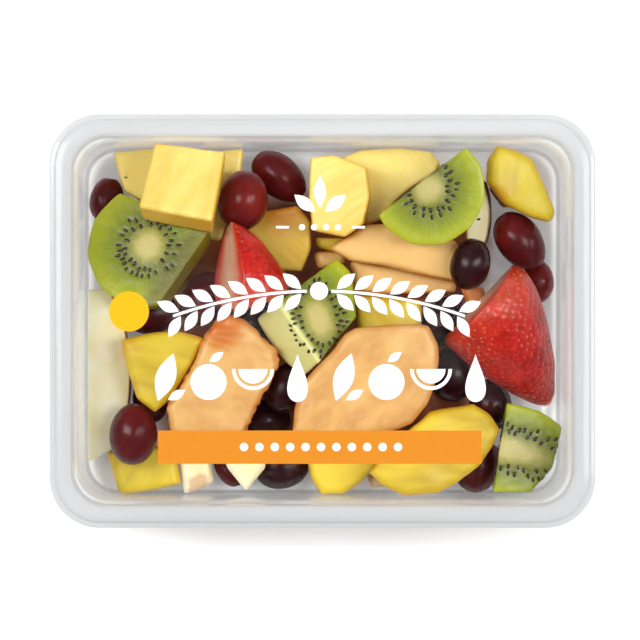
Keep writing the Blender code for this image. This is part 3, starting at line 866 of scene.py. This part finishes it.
def kiwi(node):
    sizes = CARVED[node][2]
    mesh = carve(node, whole_ball(sizes), 0.6, 3)
    points = points_of(mesh) / MM
    whole = points / (np.array(sizes) / 2)
    skin = np.clip((np.linalg.norm(whole, axis=1) - 0.93) / 0.05, 0, 1)
    around = np.arctan2(points[:, 1], points[:, 0])
    flats = -0.35 * np.abs(np.cos(around * PEELER_FLATS / 2))
    core = mound(np.hypot(whole[:, 0], whole[:, 1]), 0.3, 0.2)
    spots = kiwi_seed_spots(node)
    pits = mound(to_nearest(spots, points), -0.22, 0.9)
    move_out(mesh, skin * flats + (1 - skin) * (core + pits) + 0.12 * rough_noise(points, 0.35, 3))
    store_grain(mesh)
    store(mesh, "whole", whole * [1, 1, LONG_CORE.get(node, 1.0)])
    # the dull olive on kiwi_left's far part is painted shade
    way, start, width, most = SHADES[node]
    along = points @ np.array(lie(node).transposed() @ Vector(way).normalized())
    store(mesh, "shade", np.clip((along - start) / width, 0, 1) * most)
    place = place_of(node, mesh)
    show(node + "_fruit", mesh, KIWI_FLESH, place, [node])
    show(node + "_seeds", seeds_mesh(spots, KIWI_SEED_SIZE), KIWI_SEED, place)
    print(node, "has", len(spots), "seeds that show")


for node in SHADES:
    kiwi(node)

# %% [markdown]
# ## Strawberry
# A strawberry's skin is quilted: every seed sits in a pit, and the skin swells between the pits. The
# seeds follow the spiral that most plants use, each one turned by the golden angle from the last, spaced
# by the skin's area. The pits are pressed into the mesh with the distance to the nearest seed, and then
# the seeds are set into them.

# %% Strawberries
BERRY_LINE = [(0.0, 0.55), (0.03, 0.86), (0.10, 1.0), (0.24, 0.98), (0.42, 0.87), (0.60, 0.70), (0.78, 0.49),
              (0.91, 0.28), (0.98, 0.12), (1.0, 0.0)]
BERRY_STEPS, BERRY_SEGMENTS = 60, 84
GOLDEN_ANGLE = pi * (3 - 5 ** 0.5)
BERRY_SEED_SIZE = (1.0, 0.75, 0.4)
BERRY_SEED_GAP, BERRY_SEED_MARGIN, BERRY_SEED_SINK = 2.85, 0.9, 0.32


def berry_radius(along):
    """The berry's radius, as a share of its half width, over the way from shoulder to tip."""
    return np.interp(along, *zip(*BERRY_LINE))


def whole_berry(width, length):
    bm = bmesh.new()
    turns = [2 * pi * k / BERRY_SEGMENTS for k in range(BERRY_SEGMENTS)]
    loops = []
    for along in [i / BERRY_STEPS for i in range(BERRY_STEPS)]:
        near = np.clip(np.linspace(along - 0.04, along + 0.04, 9), 0, 1)
        radius = width / 2 * np.mean(berry_radius(near)) * MM
        loops.append([bm.verts.new((radius * cos(t), radius * sin(t), length * along * MM)) for t in turns])
    join(bm, loops)
    bm.faces.new(loops[0][::-1])
    fan(bm, loops[-1], bm.verts.new((0, 0, length * MM)))
    return bm


def berry_seed_spots(node):
    width, length = CARVED[node][2]
    knives = knives_of(node)
    spots = []
    along, turn = 0.03, 0.0
    while along < 0.985:
        radius = width / 2 * float(berry_radius(along))
        slope = width / 2 * float(berry_radius(along + 0.01) - berry_radius(along - 0.01)) / (0.02 * length)
        outward = Vector((cos(turn), sin(turn), 0))
        place = outward * radius + Vector((0, 0, along * length))
        out = (outward - Vector((0, 0, slope))).normalized()
        down = (outward * slope + Vector((0, 0, 1))).normalized()
        if inside_knives(place, knives, BERRY_SEED_MARGIN):
            spots.append((place, down, out))
        turn += GOLDEN_ANGLE + LOT.uniform(-0.03, 0.03)
        along += BERRY_SEED_GAP ** 2 / (2 * pi * max(radius, 1.0) * length * hypot(1, slope))
    return spots


def strawberry(node):
    width, length = CARVED[node][2]
    mesh = carve(node, whole_berry(width, length), 0.5, 8)
    points = points_of(mesh) / MM
    along = np.clip(points[:, 2] / length, 0, 0.97)
    radius = width / 2 * np.maximum(berry_radius(along), 0.06)
    whole = np.column_stack((points[:, 0] / radius, points[:, 1] / radius, points[:, 2] / length))
    skin = np.clip((np.hypot(whole[:, 0], whole[:, 1]) - 0.90) / 0.06, 0, 1)
    spots = berry_seed_spots(node)
    quilt = 0.08 - mound(to_nearest(spots, points), 0.36, 0.75) + 0.5 * rough_noise(points, 0.09, 5)
    move_out(mesh, skin * quilt + (1 - skin) * 0.18 * rough_noise(points, 0.5, 2))
    store_grain(mesh)
    store(mesh, "whole", whole)
    place = place_of(node, mesh)
    show(node + "_fruit", mesh, STRAWBERRY, place, [node])
    sunk = [(p - out * BERRY_SEED_SINK, down, out) for p, down, out in spots]
    show(node + "_seeds", seeds_mesh(sunk, BERRY_SEED_SIZE), BERRY_SEED, place)
    print(node, "has", len(spots), "seeds")


for node in ("strawberry_left", "strawberry_right"):
    strawberry(node)

# %% [markdown]
# ## Apple wedges
# The long wedge at the left lies with a cut face up and its round side, with the skin, to the right. It
# is carved like the kiwis, and its finish finds the skin by itself. A slight unevenness is enough for the
# flesh.

# %% Apple wedges
for node in CARVED_APPLES:
    sizes = CARVED[node][2]
    mesh = carve(node, whole_ball(sizes), 0.7, 3)
    points = points_of(mesh) / MM
    move_out(mesh, 0.25 * rough_noise(points, 0.12, 4) + 0.05 * rough_noise(points, 0.8, 6))
    store_grain(mesh)
    store(mesh, "whole", points / (np.array(sizes) / 2))
    show(node + "_fruit", mesh, APPLE, place_of(node, mesh), [node])
    print(node, "has", len(points), "points")

# %% [markdown]
# ## A pip and an eye
# Two small dark marks stand out among the pale pieces: a pip on the cut face of the right apple wedge,
# and the remains of an eye on the pineapple in the corner. Each is a seed-sized shape, set on the highest
# point of its piece near a place in the picture.

# %% Pip and eye
MARK_REACH = 1.2  # mm round the place in the picture


def mark(name, node, pixel, sizes, material):
    points = points_of(bpy.data.objects[node + "_fruit"].data) / MM
    near = points[off_pixel(points, pixel) < MARK_REACH]
    spot = (Vector(near[near[:, 2].argmax()]), Vector((1, 0.15, 0)), Vector(UP))
    show(name, seeds_mesh([spot], sizes), material)
    print(name, "lies", round(spot[0].z, 1), "mm high")


mark("apple_pip", "apple_wedge_right", (484, 217), (1.7, 0.9, 0.7), KIWI_SEED)
mark("pineapple_eye", "pineapple_corner", (123, 178), (1.5, 0.9, 0.5), STALK_SCAR)

# %% [markdown]
# ## The tray
# The tray is one clear sheet drawn into a mould: flange with a lip, a small step to stack on, steep walls
# and a flat floor. It is made as rings of points, one for each bend of the sheet, joined into a shell.
# Sealing the flange frosts it, and a stored value says where the frost is.

# %% The tray's shape
SHEET = 0.6 * MM
FLANGE_WIDTH, TRAY_CORNER = 7.6 * MM, 17.5 * MM
TRAY_LINE = [
    # (inset from the flange's edge, height), in mm, down the upper side of the sheet
    (0.0, 47.4), (0.05, 48.4), (0.25, 48.95), (0.7, 49.2), (1.6, 49.2), (1.9, 49.5), (2.05, 49.85),
    (2.4, 49.98), (6.8, 49.98), (7.3, 49.9), (7.7, 49.4), (7.9, 48.6), (8.3, 45.2), (8.6, 44.3), (9.3, 43.8),
    (9.65, 43.1), (10.8, 7.0), (11.1, 4.8), (11.7, 3.1), (12.7, 1.7), (14.2, 0.85),
]
FLOOR_UNDERSIDE = 0.25 * MM
FROST = [(7.6, 1.0), (7.9, 0.35), (9.7, 0.16), (11.2, 0.0)]  # (inset in mm, how frosted it is)


def corner_radius(inset):
    return TRAY_CORNER - 0.66 * min(inset, FLANGE_WIDTH) - 0.18 * max(inset - FLANGE_WIDTH, 0)


def outline_at(inset, steps=16):
    """The tray's outline at an inset, with rounded corners."""
    radius, points = corner_radius(inset), []
    for corner, (side_x, side_y) in enumerate([(1, 1), (-1, 1), (-1, -1), (1, -1)]):
        for step in range(steps + 1):
            angle = (corner + step / steps) * pi / 2
            points.append((side_x * (TRAY_LENGTH / 2 - inset - radius) + radius * cos(angle),
                           side_y * (TRAY_WIDTH / 2 - inset - radius) + radius * sin(angle)))
    return points


def under_line(points):
    """The same line moved by the sheet's thickness to its under side."""
    moved = []
    for i, (inset, height) in enumerate(points):
        before, after = points[max(i - 1, 0)], points[min(i + 1, len(points) - 1)]
        run, rise = after[0] - before[0], after[1] - before[1]
        size = hypot(run, rise)
        moved.append((inset + rise / size * SHEET, height - run / size * SHEET))
    return [(SHEET, points[0][1])] + moved[1:-1] + [(points[-1][0], FLOOR_UNDERSIDE)]


def ring(bm, outline, height):
    return [bm.verts.new((x, y, height)) for x, y in outline]


def sheet_mesh(bm):
    bmesh.ops.recalc_face_normals(bm, faces=bm.faces[:])
    mesh = new_mesh(bm)
    store_grain(mesh)
    return mesh


def tray_mesh():
    bm = bmesh.new()
    upper = [(inset * MM, height * MM) for inset, height in TRAY_LINE]
    line = upper + under_line(upper)[::-1]
    rings = [ring(bm, outline_at(inset), height) for inset, height in line]
    inside, outside = rings[: len(upper)], rings[len(upper) :]
    join(bm, inside)
    join(bm, outside)
    join(bm, [outside[-1], inside[0]])
    bm.faces.new(inside[-1])
    bm.faces.new(outside[0])
    mesh = sheet_mesh(bm)
    frosted = [np.interp(inset / MM, *zip(*FROST)) for inset, _ in line]
    store(mesh, "frost", np.repeat(frosted, len(rings[0])))
    return mesh


tray = tray_mesh()
print("tray triangles:", sum(len(p.vertices) - 2 for p in tray.polygons))

# %% [markdown]
# ## Clear plastic
# Clear plastic of this sort is mostly gone: light passes straight through it, apart from a gloss that
# grows towards grazing angles. Frosted sheet passes light on softly instead. One material does both. It
# also holds painted shade: an amber brown tint low on the middle of the floor, under the fruit, that
# darkens the floor seen in the gaps between the pieces.

# %% The tray's finish
CLEAR = (0.99, 0.992, 0.994, 1)
# how far the painted shade on the floor reaches from the middle
GAP_SHADE_REACH = {"X": 60 * MM, "Y": 48 * MM}


def mixed(share, first, second):
    node = add("MixShader", Fac=share)
    tree.links.new(first.outputs[0], node.inputs[1])
    tree.links.new(second.outputs[0], node.inputs[2])
    return node


def see_through(surface, ripple, bend, gloss, share, tint=CLEAR):
    """Ends a material as a clear sheet: light goes through or is mirrored, and a share meets the surface."""
    gone = add("BsdfTransparent", Color=tint)
    mirror = add("BsdfGlossy", Color=(1, 1, 1, 1), Roughness=0.07, Normal=ripple)
    edge = add("LayerWeight", Blend=bend).outputs["Fresnel"]
    sheet = mixed(sums("MULTIPLY", edge, gloss), gone, mirror)
    put(tree.nodes["Material Output"], Surface=mixed(share, sheet, surface).outputs[0])


def clear_plastic():
    """Clear sheet with a frosted flange, and an amber brown painted shade low in its middle."""
    made = new_material("clear_plastic")
    place = add("TexCoord").outputs["Object"]
    parts = add("SeparateXYZ", Vector=place).outputs
    cloud = clouds(place, 30, 3)
    ripple = bumps(clouds(place, 60, 3), 0.3, 0.8)
    put(shader, Base_Color=screen(220, 221, 222), Roughness=0.16, Normal=ripple)
    frosted = mixed(0.45, shader, add("BsdfTranslucent", Color=(0.92, 0.925, 0.93, 1)))
    share = sums("MULTIPLY_ADD", cloud, 0.03, sums("MULTIPLY", stored("frost", "Fac"), 0.84))
    # painted shade: the floor's middle, low down, is tinted amber brown so that the gaps between the fruit
    # look shaded
    shares = [sums("DIVIDE", sums("ABSOLUTE", parts[way]), GAP_SHADE_REACH[way]) for way in "XY"]
    away = sums("ADD", sums("MAXIMUM", *shares), sums("MULTIPLY_ADD", cloud, 0.3, -0.15))
    height = sums("DIVIDE", parts["Z"], TRAY_HEIGHT)
    gap_shade = sums("MULTIPLY", ramp(away, [(0.84, 1.0), (1.0, 0.0)]),
                 ramp(height, [(0.03, 1.0), (0.06, 0.0)]))
    gap_shade_colour = ramp(clouds(place, 45, 2), [(0.4, (0.46, 0.22, 0.16, 1)), (0.6, (0.64, 0.36, 0.18, 1))])
    see_through(frosted, ripple, 0.28, 0.62, share, blend(gap_shade, CLEAR, gap_shade_colour))
    return made


show("tray_sheet", tray, clear_plastic(), None, ["tray"])
tray.set_sharp_from_angle(angle=radians(50))

# %% [markdown]
# ## The film
# The lid is a flat clear film, welded to the flange. From above it is seen only by its print and by a
# little gloss. It is a thin flat sheet, and its finish ripples gently, so that its reflections aren't
# those of a mirror.

# %% Film
FILM_INSET = 1.9 * MM
FILM_BOTTOM, FILM_TOP = TRAY_HEIGHT + 0.3 * MM, TRAY_HEIGHT + 0.4 * MM


def slabs(outlines, bottom, top):
    """Each outline as a thin closed shape from bottom to top, all as one mesh."""
    bm = bmesh.new()
    for outline in outlines:
        rings = [ring(bm, outline, z) for z in (bottom, top)]
        join(bm, rings)
        bm.faces.new(rings[0])
        bm.faces.new(rings[1])
    return sheet_mesh(bm)


def film_finish():
    made = new_material("lidding_film")
    place = add("TexCoord").outputs["Object"]
    put(shader, Base_Color=screen(240, 243, 246), Roughness=0.12)
    see_through(shader, bumps(clouds(place, 14, 2), 0.2, 2), 0.12, 0.5, 0.0)
    return made


film = slabs([outline_at(FILM_INSET)], FILM_BOTTOM, FILM_TOP)
show("lid_film", film, film_finish(), None, ["film"])

# %% [markdown]
# ## The print on the film
# The print is plain ink: fields of colour and simple shapes, a few hundredths of a millimetre thick,
# lying on the film. An orange band with a row of small dots crosses the lower part, a yellow disc sits at
# the left, and white shapes fill the middle: a garland of leaves on an arch, and under it a row of fruit,
# leaves and drops. Each shape is an outline in pixels of the picture, closed and given its thickness.

# %% Print
INK, INK_LIFT = 0.03 * MM, 0.015 * MM


def ink_finish(name, colour, worn):
    made = new_material(name)
    place = add("TexCoord").outputs["Object"]
    speck = ramp(clouds(place, 900, 3), [(0.3, worn), (0.5, colour)])
    put(shader, Base_Color=speck, Roughness=0.4, Specular_IOR_Level=0.12)
    return made


def printed(name, outlines, material, layer=0):
    """One piece of ink: every outline, in pixels, in one of the layers of ink."""
    bottom = FILM_TOP + INK_LIFT + layer * (INK + INK_LIFT)
    mesh = slabs([[at_pixel(p) for p in outline] for outline in outlines], bottom, bottom + INK)
    piece = show(name, mesh, material)
    piece.visible_shadow = False  # the picture shows no shadow of the print on the fruit
    mesh.shade_flat()


def set_at(points, centre, angle=0.0):
    """Points about (0, 0), turned by an angle in degrees and moved to a centre."""
    c, s = cos(radians(angle)), sin(radians(angle))
    return [(centre[0] + x * c - y * s, centre[1] + x * s + y * c) for x, y in points]


def arc(radius, start, end, steps):
    turns = [radians(start + (end - start) * i / steps) for i in range(steps + 1)]
    return [(radius * cos(t), radius * sin(t)) for t in turns]


def disc(centre, radius, steps=40):
    return set_at(arc(radius, 0, 360, steps)[:-1], centre)


def half_disc(centre, radius, inner=0.0):
    """A half disc with its flat side up, or only its outer band if inner is given."""
    return set_at(arc(radius, 0, 180, 24) + (arc(inner, 180, 0, 24) if inner else []), centre)


def leaf(centre, angle, length, width):
    """Two arcs that meet in points, from its stalk at the centre outwards."""
    steps = 12
    upper = [(length * i / steps, -width / 2 * sin(pi * i / steps)) for i in range(steps + 1)]
    return set_at(upper + [(x, -y) for x, y in upper[-2:0:-1]], centre, angle)


def drop(centre, size):
    """A drop with its point up."""
    turns = [2 * pi * i / 40 for i in range(40)]
    return set_at([(size * 0.62 * sin(t) * sin(t / 2) ** 1.6, -size * cos(t)) for t in turns], centre)


def band(start, end, top, bottom):
    return [(start, top), (end, top), (end, bottom), (start, bottom)]


ORANGE_INK = ink_finish("orange_ink", (214, 133, 32), (211, 130, 30))
YELLOW_INK = ink_finish("yellow_ink", (236, 178, 14), (232, 172, 12))
WHITE_INK = ink_finish("white_ink", (252, 252, 252), (246, 246, 246))

# %% [markdown]
# ## Laying out the print
# The arch is part of a large circle, so one angle gives both the place and the direction of each leaf of
# the garland. The row under it repeats four shapes. All lengths are pixels, so that the layout can be
# laid over the picture.

# %% Print layout
ARCH_CENTRE, ARCH_RADIUS = (319, 728), 437
ARCH_REACH, STEM_START = 19.5, 1.6  # degrees to each side
ROW_HEIGHT, ROW_START, ROW_STEP = 377, 164, 44.5


def on_arch(angle, out=0.0):
    turn, radius = radians(angle), ARCH_RADIUS + out
    return (ARCH_CENTRE[0] + radius * sin(turn), ARCH_CENTRE[1] - radius * cos(turn))


def stem():
    """The garland's stem, in two halves that stop short of the disc in the middle."""
    shapes = []
    for side in (-1, 1):
        turns = [side * (STEM_START + (ARCH_REACH - STEM_START) * i / 30) for i in range(31)]
        shapes.append([on_arch(t, 1.4) for t in turns] + [on_arch(t, -1.4) for t in turns[::-1]])
    return shapes


def garland():
    shapes = []
    for i in [*range(-8, 0), *range(1, 9)]:
        turn, lean, back = i * ARCH_REACH / 8.4, (1 if i > 0 else -1), (0 if i > 0 else 180)
        for side in (-1, 1):
            shapes.append(leaf(on_arch(turn, -side * 2.5), turn + back + side * 42 * lean, 24, 11))
    return shapes + [disc(on_arch(0), 9)]


def fruit_row():
    """Two leaves, a round fruit, a slice and a drop, and the same four once more."""
    shapes, y = [], ROW_HEIGHT
    for i in (0, 4):
        a, b, c, d = (ROW_START + (i + k) * ROW_STEP for k in range(4))
        shapes += [leaf((a - 6, y + 24), -72, 50, 20), leaf((a + 4, y + 23), -30, 20, 9)]
        shapes += [disc((b, y + 5), 18), leaf((b + 1, y - 15), -35, 17, 8)]
        shapes += [half_disc((c, y - 8), 14.5), half_disc((c, y - 8), 21, 17.5), drop((d, y + 1), 24)]
    return shapes


def sprig():
    shapes = [leaf((320, 208), -90, 32, 12), leaf((315, 212), -140, 27, 12), leaf((325, 212), -40, 27, 12)]
    shapes += [band(start, start + 13, 226, 228.4) for start in (276, 352)]
    return shapes + [disc((302 + 12 * i, 227.2), 3.1, 20) for i in range(4)]


printed("print_band", [band(158, 481.6, 430.5, 463.8)], ORANGE_INK)
printed("print_disc", [disc((129, 311.5), 20)], YELLOW_INK)
printed("print_white", garland() + fruit_row() + sprig(), WHITE_INK)
printed("print_stem", stem(), WHITE_INK, 1)
printed("print_dots", [disc((244 + 15.4 * i, 447), 4.2, 24) for i in range(11)], WHITE_INK, 1)

# %% [markdown]
# ## The floor
# The tray stands on a plain white floor, wide enough that no view from the side sees its end. Such a pack
# is photographed on a light table, and its glow fills the gaps between the pieces of fruit, so the floor
# gives off some light of its own.

# %% Floor
TABLE_GLOW = 0.16


def floor():
    made = new_material("white_floor")
    place = add("TexCoord").outputs["Object"]
    whites = blend(clouds(place, 6, 2), (0.93, 0.93, 0.93, 1), (0.95, 0.95, 0.95, 1))
    put(shader, Base_Color=whites, Roughness=0.9, Specular_IOR_Level=0.1,
        Emission_Color=(1, 1, 1, 1), Emission_Strength=TABLE_GLOW)
    bm = bmesh.new()
    bmesh.ops.create_grid(bm, x_segments=4, y_segments=4, size=3.0)
    mesh = new_mesh(bm)
    mesh.materials.append(made)
    ground = linked("floor", mesh)


floor()

# %% [markdown]
# ## The end
# The last step brings the scene up to date.

# %% The end
bpy.context.view_layer.update()
